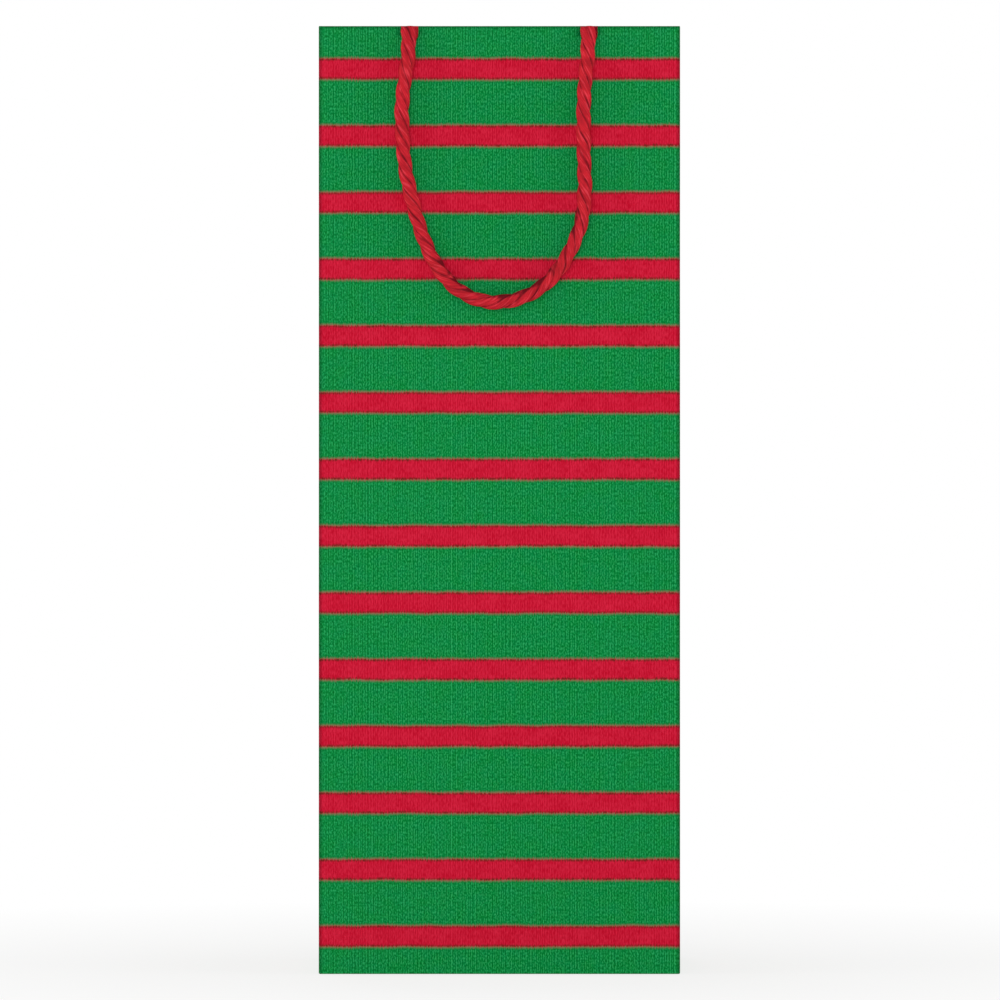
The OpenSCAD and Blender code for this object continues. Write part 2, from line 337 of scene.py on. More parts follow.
def ribbon_print(node):
    """Coated paper, offset printed with a picture of ribbed ribbon and given a satin varnish.

    The eye reads fine upright ribs, crossed by threads, in green with red stripes. Each stripe has a
    wandering edge, with a dotted thread along it and dark dashes inside it. The paper is flat, so the
    ribs are only colour, and the varnish gives a faint even shine. Lengths here are in millimetres.
    """
    paper = paper_settings()
    sheet = node("UVMap", uv_map="Sheet")
    across = node("SeparateXYZ", {0: sheet}, "X")
    up = across.node.outputs["Y"]
    edge, edge_place = stripe_edge(node, across, up)

    # Ribs: two sets of upright lines at uneven spacing, with streaks that run the sheet's full height
    noise_middle, drift_length, drift_reach, streak_width, streak_depth = 0.5, 5, 2.2, 0.45, 0.45
    drift = node("TexNoise", {"W": across, "Scale": 1 / drift_length}, noise_dimensions="1D")
    drifted = node("Math", {0: drift, 1: drift_reach, 2: across}, operation="MULTIPLY_ADD")
    rib_turn, rib = 2 * math.pi / (paper.rib_pitch / MM), 0.5
    for turn, depth in ((rib_turn, 0.12), (1.75 * rib_turn, 0.3)):
        phase = node("Math", {0: drifted, 1: turn}, operation="MULTIPLY")
        line = node("Math", {0: phase}, operation="SINE")
        rib = node("Math", {0: line, 1: depth, 2: rib}, operation="MULTIPLY_ADD")
    streak = node("TexNoise", {"W": across, "Scale": 1 / streak_width}, noise_dimensions="1D")
    streak = node("Math", {0: streak, 1: noise_middle}, operation="SUBTRACT")
    rib = node("Math", {0: streak, 1: streak_depth, 2: rib}, operation="MULTIPLY_ADD")
    # The inks drift a little from patch to patch, as they do on a press
    patch_size = 6
    ink = node("TexNoise", {"Vector": sheet, "Scale": 1 / patch_size, "Detail": 2}, noise_dimensions="2D")
    ink_drift = node("Math", {0: ink, 1: noise_middle}, operation="SUBTRACT")
    red_rib = node("Math", {0: ink_drift, 1: rib}, operation="ADD")
    # Cross threads: printed flecks, drawn a little coarser than real thread so that they show
    fleck_width, fleck_depth = 0.45, 2.3
    fleck_scale = (1 / fleck_width, MM / paper.cross_thread, 0)
    fleck_place = node("VectorMath", {0: sheet, 1: fleck_scale}, operation="MULTIPLY")
    # The red flecks run further along a rib than the green ones
    long_place = node("VectorMath", {0: fleck_place, 1: (1.2, 0.55, 0)}, operation="MULTIPLY")
    threads = []
    for place, base in ((fleck_place, rib), (long_place, red_rib)):
        fleck = node("TexNoise", {"Vector": place, "Scale": 1, "Detail": 1}, noise_dimensions="2D")
        fleck = node("Math", {0: fleck, 1: noise_middle}, operation="SUBTRACT")
        threads.append(node("Math", {0: fleck, 1: fleck_depth, 2: base}, operation="MULTIPLY_ADD",
                            use_clamp=True))
    thread, red_thread = threads

    green = node("Mix", {0: thread, 6: paper.green_dark, 7: paper.green_light}, 2, data_type="RGBA")
    pale = node("MapRange", {0: thread, 1: 0.6})
    green = node("Mix", {0: pale, 6: green, 7: paper.green_pale}, 2, data_type="RGBA")
    green_hue = node("MapRange", {0: ink, 1: 0.3, 2: 0.7, 3: 0.504, 4: 0.496})
    green = node("HueSaturation", {"Hue": green_hue, "Color": green})
    red = node("Mix", {0: red_thread, 6: paper.red_dark, 7: paper.red_light}, 2, data_type="RGBA")
    edge = node("Math", {0: edge, 1: streak}, operation="ADD")
    inside = node("MapRange", {0: edge, 1: -0.25, 2: 0.25, 3: 1, 4: 0})
    colour = node("Mix", {0: inside, 6: green, 7: red}, 2, data_type="RGBA")
    # Lines along the edge, each at its distance from it: a shade on each side, then the dotted thread
    stitch_length, stitch_lane = 0.5, 2.9
    stitch_scale = (1 / stitch_length, stitch_lane, 0)
    stitch_place = node("VectorMath", {0: edge_place, 1: stitch_scale}, operation="MULTIPLY")
    stitch = node("TexNoise", {"Vector": stitch_place, "Scale": 1, "Detail": 1}, noise_dimensions="2D")
    mottle = node("MapRange", {0: thread, 3: 0.45, 4: 1.35})
    dots = node("MapRange", {0: stitch, 1: 0.36, 2: 0.64, 3: 0.2, 4: 1.5})
    dashes = node("MapRange", {0: stitch, 1: 0.36, 2: 0.64, 3: 1.45, 4: 0.35})
    for middle, half_width, strength, broken, line_colour in (
        (0.5, 0.7, 0.45, mottle, paper.green_dark),
        (-0.5, 0.68, 0.75, dashes, paper.edge_shade),
        (0.1, 0.62, 0.7, dots, paper.edge_thread),
    ):
        away = node("Math", {0: edge, 1: middle}, operation="SUBTRACT")
        away = node("Math", {0: away}, operation="ABSOLUTE")
        line = node("MapRange", {0: away, 1: 0.05, 2: half_width, 3: strength, 4: 0})
        line = node("Math", {0: line, 1: broken}, operation="MULTIPLY", use_clamp=True)
        colour = node("Mix", {0: line, 6: colour, 7: line_colour}, 2, data_type="RGBA")

    colour = crease_wear_and_shade(node, sheet, across, up, colour)
    tooth_size = 0.35
    tooth = node("TexNoise", {"Vector": sheet, "Scale": 1 / tooth_size, "Detail": 2}, noise_dimensions="2D")
    bump = node("Bump", {"Height": tooth, "Strength": 0.08, "Distance": 0.03 * MM})
    rough = node("MapRange", {0: tooth, 3: 0.5, 4: 0.62})
    return node("BsdfPrincipled", {
        "Base Color": colour, "Roughness": rough, "Normal": bump, "IOR": 1.48, "Specular IOR Level": 0.03})


def bare_paper(node):
    """Uncoated white paper, the unprinted back of the sheet: matt, with faint fibres and cloudy pulp."""
    # Sizes in millimetres, as in the sheet's map
    cloud_size, fibre_size = 6, 0.5
    sheet = node("UVMap", uv_map="Sheet")
    cloud = node("TexNoise", {"Vector": sheet, "Scale": 1 / cloud_size, "Detail": 3}, noise_dimensions="2D")
    fibre = node("TexNoise", {"Vector": sheet, "Scale": 1 / fibre_size, "Detail": 3, "Distortion": 1.5},
                 noise_dimensions="2D")
    both = node("Math", {0: cloud, 1: fibre}, operation="ADD")
    tone = node("MapRange", {0: both, 1: 0.6, 2: 1.4, 3: 0.9, 4: 1.03})
    colour = node("VectorMath", {0: paper_settings().paper_white[:3], "Scale": tone}, operation="SCALE")
    bump = node("Bump", {"Height": fibre, "Strength": 0.2, "Distance": 0.04 * MM})
    return node("BsdfPrincipled", {
        "Base Color": colour, "Roughness": 0.88, "Normal": bump, "Specular IOR Level": 0.2})


def lined_board(node, face_hex, core_hex, thin_axis):
    """Pressed pulp board with a paper lining: pale flat faces with grey flecks, and a darker fibrous core
    that shows on the cut edges. A board is thinnest along the given axis."""
    fibre_size, fleck_size = 1.2 * MM, 2.5 * MM
    place = node("TexCoord", output="Object")
    fibre = node("TexNoise", {"Vector": place, "Scale": 1 / fibre_size, "Detail": 4, "Distortion": 2})
    fleck = node("TexNoise", {"Vector": place, "Scale": 1 / fleck_size, "Detail": 1})
    fleck = node("MapRange", {0: fleck, 1: 0.66, 2: 0.76, 3: 0, 4: 0.35})
    normal = node("NewGeometry", output="True Normal")
    through = node("SeparateXYZ", {0: normal}, thin_axis)
    lined = node("Math", {0: through}, operation="ABSOLUTE")
    lined = node("MapRange", {0: lined, 1: 0.5, 2: 0.8})
    face = node("Mix", {0: fleck, 6: linear(face_hex), 7: linear(core_hex)}, 2, data_type="RGBA")
    colour = node("Mix", {0: lined, 6: linear(core_hex), 7: face}, 2, data_type="RGBA")
    tone = node("MapRange", {0: fibre, 1: 0.3, 2: 0.7, 3: 0.9, 4: 1.04})
    colour = node("VectorMath", {0: colour, "Scale": tone}, operation="SCALE")
    bump = node("Bump", {"Height": fibre, "Strength": 0.25, "Distance": 0.06 * MM})
    return node("BsdfPrincipled", {
        "Base Color": colour, "Roughness": 0.85, "Normal": bump, "Specular IOR Level": 0.2})


def rayon_cord(node):
    """Twisted rayon cord, three plies of spun filament: crests streaked along the ply, with painted
    highlights on the brightest filaments, and painted shade in the grooves where the plies press together."""
    cord = cord_settings()
    yarn = node("UVMap", uv_map="Yarn")
    crest = node("Attribute", output="Fac", attribute_name="crest")
    # Millimetres. Filaments are drawn coarser than real ones, so that they show
    filament_width, filament_length, fuzz_size = 0.4, 5, 4
    filament_scale = (1 / filament_width, 1 / filament_length, 0)
    stretched = node("VectorMath", {0: yarn, 1: filament_scale}, operation="MULTIPLY")
    filament = node("TexNoise", {"Vector": stretched, "Scale": 1, "Detail": 2}, noise_dimensions="2D")
    patch = node("TexNoise", {"Vector": yarn, "Scale": 1 / fuzz_size, "Detail": 1}, noise_dimensions="2D")
    depth = node("MapRange", {0: crest, 2: FULL_CREST}, interpolation_type="SMOOTHSTEP")
    # Fuzz lies over parts of a groove, which breaks the groove's painted shade into dashes
    fuzz = node("MapRange", {0: patch, 1: 0.45, 2: 0.65, 3: 0, 4: 0.7})
    depth = node("Math", {0: depth, 1: fuzz}, operation="MAXIMUM")
    streak = node("MapRange", {0: filament, 1: 0.3, 2: 0.7, 3: -0.4, 4: 0.15})
    tone = node("Math", {0: depth, 1: streak}, operation="ADD", use_clamp=True)
    # The groove colour is painted shade between the plies; a ply's crest shows the cord's own red
    colour = node("Mix", {0: tone, 6: cord.groove, 7: cord.crest}, 2, data_type="RGBA")
    # Painted highlight: the brightest filaments on the crests are coloured with the pale sheen colour
    bright = node("MapRange", {0: filament, 1: 0.56, 2: 0.74, 3: 0, 4: 0.6})
    bright = node("Math", {0: bright, 1: depth}, operation="MULTIPLY")
    colour = node("Mix", {0: bright, 6: colour, 7: cord.painted_sheen}, 2, data_type="RGBA")
    shade = node("MapRange", {0: patch, 1: 0.3, 2: 0.7, 3: 0.88, 4: 1.1})
    colour = node("VectorMath", {0: colour, "Scale": shade}, operation="SCALE")
    bump = node("Bump", {"Height": filament, "Strength": 0.5, "Distance": 0.12 * MM})
    rough = node("MapRange", {0: filament, 3: 0.42, 4: 0.62})
    return node("BsdfPrincipled", {
        "Base Color": colour, "Roughness": rough, "Normal": bump, "Specular IOR Level": 0.0,
        "Sheen Weight": 0.08, "Sheen Roughness": 0.4, "Sheen Tint": cord.crest})


def stamped_steel(node):
    """Stamped zinc-plated steel: bright grey metal with fine rolling lines along the bar."""
    line_length, line_width = 5 * MM, 0.25 * MM
    line_scale = (1 / line_length, 1 / line_width, 1 / line_width)
    place = node("TexCoord", output="Object")
    rolled = node("VectorMath", {0: place, 1: line_scale}, operation="MULTIPLY")
    lines = node("TexNoise", {"Vector": rolled, "Scale": 1, "Detail": 2})
    tone = node("MapRange", {0: lines, 3: 0.85, 4: 1.1})
    colour = node("VectorMath", {0: linear("#b8bcc0")[:3], "Scale": tone}, operation="SCALE")
    rough = node("MapRange", {0: lines, 3: 0.25, 4: 0.45})
    bump = node("Bump", {"Height": lines, "Strength": 0.15, "Distance": 0.02 * MM})
    return node("BsdfPrincipled", {
        "Base Color": colour, "Metallic": 1.0, "Roughness": rough, "Normal": bump})


def seen_directly(node):
    """One for rays of the view, also in gloss and through clear things, and zero for rays of light."""
    path = seen = node("LightPath", output="Is Camera Ray")
    for ray in ("Is Glossy Ray", "Is Transmission Ray"):
        seen = node("Math", {0: seen, 1: path.node.outputs[ray]}, operation="MAXIMUM")
    return seen


def studio_floor(node):
    """Matt white sheet: nearly white to the view, with the bag's soft shadow, and clear from below."""
    shadow_reach, plain_reach, near_white = 0.1, 0.4, 0.78
    place = node("NewGeometry", output="Position")
    away = node("VectorMath", {0: place}, "Value", operation="LENGTH")
    plain = node("MapRange", {0: away, 1: shadow_reach, 2: plain_reach, 3: near_white, 4: 1})
    white_share = node("Math", {0: seen_directly(node), 1: plain}, operation="MULTIPLY")
    matt = node("BsdfDiffuse", {"Color": stage_settings().floor_colour})
    white = node("Emission", {"Color": linear("#ffffff"), "Strength": 1})
    top = node("MixShader", {0: white_share, 1: matt, 2: white})
    under = node("NewGeometry", output="Backfacing")
    clear = node("BsdfTransparent")
    return node("MixShader", {0: under, 1: top, 2: clear})


# Meshes


def make_object(name, points, faces, materials):
    """A mesh object with smooth faces and its materials."""
    mesh = bpy.data.meshes.new(name)
    mesh.from_pydata([tuple(p) for p in points], [], faces)
    mesh.polygons.foreach_set("use_smooth", [True] * len(mesh.polygons))
    for material in materials:
        mesh.materials.append(material)
    made = bpy.data.objects.new(name, mesh)
    bpy.context.scene.collection.objects.link(made)
    return made


def set_map(mesh, name, coordinates):
    """A UV map that gives each corner its vertex's place."""
    corner = np.zeros(len(mesh.loops), np.int32)
    mesh.loops.foreach_get("vertex_index", corner)
    layer = mesh.uv_layers.new(name=name)
    layer.uv.foreach_set("vector", np.asarray(coordinates, np.float32)[corner].ravel())


def paper_piece(name, node, points, sheet, keep=None, split=None, flip=False, printed=True):
    """A piece of the sheet from a grid of points on its shown face, with the paper's thickness behind it."""
    rows, columns = points.shape[:2]
    faces = []
    for j in range(rows - 1):
        for i in range(columns - 1):
            if keep is not None and not keep[j, i]:
                continue
            a, b = j * columns + i, j * columns + i + 1
            c, d = b + columns, a + columns
            way = 0 if split is None else split[j, i]
            faces += [[(a, b, c, d)], [(a, b, c), (a, c, d)], [(a, b, d), (b, c, d)]][way]
    used = sorted({v for face in faces for v in face})
    new_index = {old: new for new, old in enumerate(used)}
    faces = [tuple(new_index[v] for v in (face[::-1] if flip else face)) for face in faces]
    back = make_material("Uncoated white paper", bare_paper)
    shown = make_material("Ribbon print on satin paper", ribbon_print) if printed else back
    made = make_object(name, points.reshape(-1, 3)[used], faces, [shown, back])
    set_map(made.data, "Sheet", sheet.reshape(-1, 2)[used] / MM)
    thick = made.modifiers.new("Paper thickness", "SOLIDIFY")
    thick.thickness = PAPER
    thick.offset = -1
    thick.material_offset = 1
    thick.material_offset_rim = 1
    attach(made, "bag")
    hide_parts(node)


def paper_pair(pair, ending, node_ending, grid, columns, heights, turned=False, **cells):
    """Two opposite pieces of the sheet: the same grid, turned to each side of the bag."""
    for side, turns in pair:
        paper_piece(f"{side}_{ending}", f"{side}_{node_ending}", quarter_turns(grid, turns),
                    sheet_places(columns, heights, turns, turned), flip=turned, **cells)


def quarter_turns(points, turns):
    """Turns points about the bag's upright axis by quarter turns, from the front wall to another wall."""
    turned = np.array(points)
    for _ in range(turns):
        turned = np.stack([-turned[..., 1], turned[..., 0], turned[..., 2]], -1)
    return turned


def flat_half(half):
    """Length along the sheet from the middle of a wall to the middle of its corner crease."""
    radius = paper_settings().crease_radius
    return half - radius + radius * HALF_CORNER


def sheet_quarter():
    """Length along the sheet from the middle of a wall to the middle of the next one."""
    return flat_half(HALF_W) + flat_half(HALF_D)


def wall_relief(across, z):
    """How far a front or back wall stands out: it bellies below the handles and is flat at the stiff top."""
    paper = paper_settings()
    top_fade, foot_fade, wave_across, wave_up = 30 * MM, 20 * MM, 19 * MM, 27 * MM
    loop_foot = HINGE.z - max(drop for _, drop in LOOP_ROUTE) - cord_settings().diameter
    belly = np.sin(np.pi * np.clip(z / loop_foot, 0, 1)) ** 2
    edge = np.cos(QUARTER * np.clip(across / HALF_W, -1, 1))
    slack = np.clip((HEM_FOOT - z) / top_fade, 0, 1) * np.clip(z / foot_fade, 0, 1)
    waves = np.sin(across / wave_across + 0.6) * np.sin(z / wave_up + 1.1)
    return edge * (paper.bulge * belly + paper.ripple * slack * waves)


def gusset_relief(across, z):
    """How far a gusset stands out, below zero: its creases form a shallow valley and a foot triangle."""
    top_fade, foot_fade, sag, wave_up = 30 * MM, 60 * MM, 0.9 * MM, 31 * MM
    beside = 1 - np.abs(across) / CREASE_REACH
    depth = PINCH * np.clip(np.minimum(beside, z / CREASE_REACH), 0, None)
    slack = np.clip((HEM_FOOT - z) / top_fade, 0, 1) * np.clip((z - CREASE_REACH) / foot_fade, 0, 1)
    hollow = np.sin(np.pi * np.clip(np.abs(across) / CREASE_REACH, 0, 1))
    waves = 0.6 + 0.4 * np.sin(z / wave_up + 0.8 * np.sign(across))
    return -depth - sag * slack * hollow * waves


def loft(columns, rows, half_across, half_out, fold, relief, turned=False):
    """Points of a wall that faces -Y, from places along the sheet and heights up it.

    The sheet bends round half of each corner crease, under at the foot and over at the top fold. A
    turned piece is the sheet beyond the fold, on its way down inside.
    """
    paper = paper_settings()
    radius, foot, corner_dip = paper.crease_radius, paper.foot_radius, 0.15 * MM
    bend = np.clip((np.abs(columns) - (half_across - radius)) / radius, 0, HALF_CORNER)[None, :]
    flat = np.clip(columns, radius - half_across, half_across - radius)[None, :]
    across = flat + np.sign(flat) * radius * np.sin(bend)
    half_fold = fold + (SIDE_FOLD - fold) * bend / HALF_CORNER
    over = QUARTER * np.clip((rows - (HEIGHT - fold)) / fold, 0, 1)
    under = QUARTER * np.clip(1 - rows / foot, 0, 1)
    # The turned sheet dips a little at the corners, so that its bare back stays under the fold
    crown = HEIGHT - corner_dip * bend / HALF_CORNER if turned else HEIGHT
    z = np.where(over > 0, crown - half_fold * (1 - np.sin(over)), rows)
    z = np.where(under > 0, foot * (1 - np.sin(under)), z)
    fold_share = 1 + np.cos(over) if turned else 1 - np.cos(over)
    foot_tuck = foot * (1 - np.cos(under))
    tuck, corner_tuck = half_fold * fold_share + foot_tuck, SIDE_FOLD * fold_share + foot_tuck
    out = half_out - radius * (1 - np.cos(bend)) + relief(across, z) - tuck * np.cos(bend)
    across = across - np.sign(flat) * corner_tuck * np.sin(bend)
    return np.stack(np.broadcast_arrays(across, -out, z), -1)


def steps_through(start, *spans):
    """Places from a start through the end of each span, which is cut into a number of equal steps."""
    places = [start]
    for end, count in spans:
        places += list(np.linspace(places[-1], end, count + 1)[1:])
    return np.array(places)


def corner_columns(half, middle):
    """Places along the sheet across a wall: half of each corner crease, with the given ones between."""
    crease = steps_through(half - paper_settings().crease_radius, (flat_half(half), 5))[1:]
    return np.concatenate([-crease[::-1], middle, crease])


def wall_columns():
    """Places along the sheet across a front or back wall, with the notches' own columns."""
    radius, notch, margin = paper_settings().crease_radius, paper_settings().notch_radius, 1 * MM
    even = np.linspace(radius - HALF_W, HALF_W - radius, 35)
    clear = [x for x in even if all(abs(x - middle) > notch + margin for middle in NOTCH_XS)]
    round_end = notch * np.cos(np.linspace(0, np.pi, 13))
    return corner_columns(HALF_W, np.sort(np.concatenate([clear, *(x + round_end for x in NOTCH_XS)])))


def gusset_columns(count):
    """Places along the sheet across half of a gusset's flat part, and across the gusset with its corners."""
    half = np.linspace(0, HALF_D - paper_settings().crease_radius, count)
    return half, corner_columns(HALF_D, np.concatenate([-half[:0:-1], half]))


def notch_start():
    """Height from which a wall's rows are drawn down towards the notches."""
    return HINGE.z - 2.5 * paper_settings().notch_radius


def wall_rows(low):
    """Heights up a front or back wall, from a lowest one to the top of the fold."""
    row_step = 5 * MM
    count = max(1, round((notch_start() - low) / row_step) - 1)
    return steps_through(low, (notch_start(), count), (HINGE.z, 6), (HEIGHT - WALL_FOLD, 3), (HEIGHT, 5))


def notched(columns, rows):
    """Heights of a wall's grid, drawn down under the notches, and which of its cells are paper."""
    notch, start, near = paper_settings().notch_radius, notch_start(), 0.001 * MM
    heights = np.tile(rows[:, None], len(columns))
    keep = np.ones((len(rows) - 1, len(columns) - 1), bool)
    for middle in NOTCH_XS:
        inside = np.abs(columns - middle) < notch + near
        drop = np.sqrt(np.clip(notch ** 2 - (columns - middle) ** 2, 0, None))
        share = np.clip((rows[:, None] - start) / (HINGE.z - start), 0, 1)
        heights = np.where(inside & (rows[:, None] <= HINGE.z + near), heights - share * drop, heights)
        between = inside[1:] & inside[:-1]
        keep &= ~(between[None, :] & (rows[:-1, None] > HINGE.z - near))
    return heights, keep


def slant_cuts(rows, columns, half, slant_rows):
    """How the cells of a gusset's grid are cut in two, so that its slanting creases are edges of the mesh."""
    split = np.zeros((len(rows) - 1, len(columns) - 1), int)
    first_row = int(np.argmin(np.abs(rows - slant_rows[0])))
    first_column = int(np.argmin(np.abs(columns + half[-1])))
    for step in range(len(half) - 1):
        split[first_row + step, first_column + step] = 1
        split[first_row + step, -1 - first_column - step] = 2
    return split


def sheet_places(columns, heights, wall, turned=False):
    """Places on the flat sheet: along it from the middle of the front wall, and up it from the foot."""
    along = columns[None, :] + wall * sheet_quarter()
    return np.stack(np.broadcast_arrays(along, 2 * HEIGHT - heights if turned else heights), -1)


def flap_taper(name):
    """How much narrower a bottom flap is at its free edge than at its crease, on each side."""
    places = np.array([v.co for v in frame["nodes"][name + "_bottom_flap"].data.vertices])
    along, out = (0, 1) if name in ("front", "back") else (1, 0)
    reach = places[:, out] if name in ("front", "left") else -places[:, out]
    free = places[np.isclose(reach, reach.max(), atol=0.1 * MM)]
    return np.abs(places[:, along]).max() - np.abs(free[:, along]).max()


def run_length(points):
    """Length along a line up to each of its points."""
    return np.concatenate([[0], np.cumsum(np.linalg.norm(np.diff(points, axis=0), axis=1))])


def rope_rings(path, scale):
    """Rings of a three-ply rope along a path: points, places on the plies and heights above the grooves,
    lowered as painted shade on the inner side of a bend.
    """
    cord = cord_settings()
    radius, ply, third = cord.diameter / 2, cord.diameter / 4, 2 * np.pi / 3
    length = run_length(path)
    ahead = np.gradient(path, length, axis=0)
    ahead /= np.linalg.norm(ahead, axis=1)[:, None]
    normal = np.cross(ahead[0], (1, 0, 0))
    normals = []
    for direction in ahead:
        normal = normal - direction * (normal @ direction)
        normal = normal / np.linalg.norm(normal)
        normals.append(normal)
    normals = np.array(normals)
    sideways = np.cross(ahead, normals)
    angle = np.linspace(0, 2 * np.pi, ROPE_SIDES, endpoint=False)
    lobe = (angle + third / 2) % third - third / 2
    outline = ply * np.cos(lobe) + np.sqrt(ply ** 2 - (ply * np.sin(lobe)) ** 2)
    crest = (outline - outline.min()) / (outline.max() - outline.min())
    # Soft plies press into each other, so the grooves are shallower than those of hard round rods
    press, groove_crest = 0.4, 0.2
    outline = (1 - press) * outline + press * radius
    crest = groove_crest + (1 - groove_crest) * crest
    turn = angle[None, :] - 2 * np.pi * length[:, None] / cord.lay
    spread = (outline[None, :] * scale[:, None])[..., None]
    outward = np.cos(turn)[..., None] * normals[:, None] + np.sin(turn)[..., None] * sideways[:, None]
    rings = path[:, None] + spread * outward
    places = np.stack(np.broadcast_arrays(ply * angle[None, :], length[:, None]), -1)
    # On the inner side of a bend the cord gets painted shade: its heights above the groove are lowered there,
    # towards the groove's colour
    full_bend, window, bend_shade_start, bend_shade_span = 30 * MM, 15, 0.3, 0.5
    inward = np.gradient(ahead, length, axis=0) * full_bend
    inward = np.stack([np.convolve(part, np.full(window, 1 / window), "same") for part in inward.T], 1)
    inward /= np.maximum(np.linalg.norm(inward, axis=1), 1)[:, None]
    painted_bend_shade = np.clip((np.einsum("ijk,ik->ij", outward, inward) - bend_shade_start) / bend_shade_span, 0, 1)
    return rings, places, crest[None, :] * (1 - painted_bend_shade)


def rope_object(name, *tubes):
    """A rope of closed, capped tubes, each from its rings, its map and its heights above the groove."""
    faces, start = [], 0
    for rings, _, _ in tubes:
        count, sides = rings.shape[:2]
        for j in range(count - 1):
            for k in range(sides):
                a, b = start + j * sides + k, start + j * sides + (k + 1) % sides
                faces.append((a, b, b + sides, a + sides))
        last = start + (count - 1) * sides
        faces += [tuple(range(start, start + sides))[::-1], tuple(range(last, last + sides))]
        start = last + sides
    points, places, crest = (np.concatenate([part.reshape(-1, width) for part in parts])
                             for parts, width in zip(zip(*tubes), (3, 2, 1)))
    made = make_object(name, points, faces, [make_material("Twisted rayon cord", rayon_cord)])
    set_map(made.data, "Yarn", places / MM)
    height = made.data.attributes.new("crest", "FLOAT", "POINT")
    height.data.foreach_set("value", crest.ravel().astype(np.float32))
    return made


def resample(points, step):
    """The same line with points at an even step."""
    length = run_length(points)
    even = np.linspace(0, length[-1], round(length[-1] / step) + 1)
    return np.stack([np.interp(even, length, points[:, k]) for k in range(3)], 1)


def smooth_line(points, per_span=12):
    """A smooth curve through the points."""
    padded = np.concatenate([[2 * points[0] - points[1]], points, [2 * points[-1] - points[-2]]])
    t = np.linspace(0, 1, per_span, endpoint=False)[:, None]
    spans = []
    for p0, p1, p2, p3 in zip(padded, padded[1:], padded[2:], padded[3:]):
        spans.append(0.5 * (2 * p1 + (p2 - p0) * t + (2 * p0 - 5 * p1 + 4 * p2 - p3) * t ** 2
                            + (3 * p1 - p0 - 3 * p2 + p3) * t ** 3))
    return np.concatenate([*spans, points[-1:]])


def handle_path():
    """Middle line of the front handle: out of one notch, over, down, round and back into the other."""
    bend, rise = cord_settings().bend_radius, 1.2 * MM
    # The cord is a little slimmer than its notch and lies against the notch's left side
    aside = cord_settings().diameter / 2 - paper_settings().notch_radius
    angle = np.linspace(QUARTER, 0, 10)
    over_y, over_z = HINGE.y + bend - bend * np.cos(angle), HINGE.z + rise - bend + bend * np.sin(angle)
    hanging = [(x, HINGE.y, HINGE.z - drop) for x, drop in LOOP_ROUTE[1:-1]]
    ends = []
    for x in NOTCH_XS:
        elbow = np.stack([np.full_like(over_y, x + aside), over_y, over_z], 1)
        ends.append(np.concatenate([[(x + aside, FOLD_Y, over_z[0])], elbow]))
    loop = smooth_line(np.array([ends[0][-1], *hanging, ends[1][-1]]))
    return resample(np.concatenate([ends[0][:-1], loop, ends[1][::-1][1:]]), PATH_STEP)


def pressed_flat(z):
    """Heights with the tops of the cords pressed down level with the bag's top edge."""
    softness = 0.4 * MM
    return HEIGHT - softness * np.log1p(np.exp((HEIGHT - z) / softness))


def cord_plug(x):
    """Tube that fills a notch: square at the top edge, with painted shade on its front, and a soft dome
    inside the bag.
    """
    overfill, front_gap, top_gap, square_power, round_power = 0.05 * MM, 0.1 * MM, 0.03 * MM, 40, 2
    angle = np.linspace(2 * np.pi, 0, ROPE_SIDES, endpoint=False) + np.pi / ROPE_SIDES
    fill = paper_settings().notch_radius + overfill
    power = np.where(np.sin(angle) > 0, square_power, round_power)
    outline = fill / (np.abs(np.cos(angle)) ** power + np.abs(np.sin(angle)) ** power) ** (1 / power)
    # The dome stops short of its tip, where its rings would close to a point
    dome = np.linspace(0, 0.97 * QUARTER, 9)
    dome_y = FOLD_Y + cord_settings().diameter / 2 * np.sin(dome)
    y = np.concatenate([[front_gap - HALF_D], dome_y])[:, None]
    spread = np.concatenate([[1], np.cos(dome)])[:, None] * outline[None, :]
    z = np.minimum(HINGE.z + spread * np.sin(angle), HEIGHT - top_gap)
    rings = np.stack(np.broadcast_arrays(x + spread * np.cos(angle), y, z), -1)
    places = np.stack(np.broadcast_arrays(spread * angle, y), -1)
    crest = np.full(spread.shape, FULL_CREST)
    # The fronts take painted shade, so that they read as the dark gap of the notch; the right-hand one's is
    # darkest
    crest[0] = 0.5 if x < 0 else 0
    return rings, places, crest


def pressed_tail(x, node):
    """Tube of a cord's end inside the turned top, where it is pressed flat and spreads."""
    low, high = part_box(node)
    cord_half, half_thick = cord_settings().diameter / 2, 0.45 * MM
    z = np.linspace(HINGE.z - cord_half / 2, low.z, 12)[:, None]
    share = np.clip((z[0] - z) / (2 * cord_half), 0, 1)
    half_width = cord_half + ((high.x - low.x) / 2 - cord_half) * share
    angle = np.linspace(0, 2 * np.pi, ROPE_SIDES, endpoint=False)[None, :]
    y = FOLD_Y - half_thick * np.sin(angle)
    rings = np.stack(np.broadcast_arrays(x + half_width * np.cos(angle), y, z), -1)
    places = np.stack(np.broadcast_arrays(half_width * angle, z), -1)
    return rings, places, np.full(rings.shape[:2], FULL_CREST)


# Operators


class GIFTBAG_OT_camera(bpy.types.Operator):
    """Set a long-lens camera square to the front wall"""

    bl_idname = "gift_bag.camera"
    bl_label = "Camera"

    def execute(self, context):
        stage = stage_settings()
        lens = bpy.data.cameras.new("Front camera")
        lens.lens = lens.sensor_width * stage.camera_distance / stage.view_size
        camera = bpy.data.objects.new("Front camera", lens)
        context.scene.collection.objects.link(camera)
        camera.location = (stage.view_aside, -HALF_D - stage.camera_distance, HEIGHT / 2)
        camera.rotation_euler = (QUARTER, 0, 0)
        context.scene.camera = camera
        return {"FINISHED"}


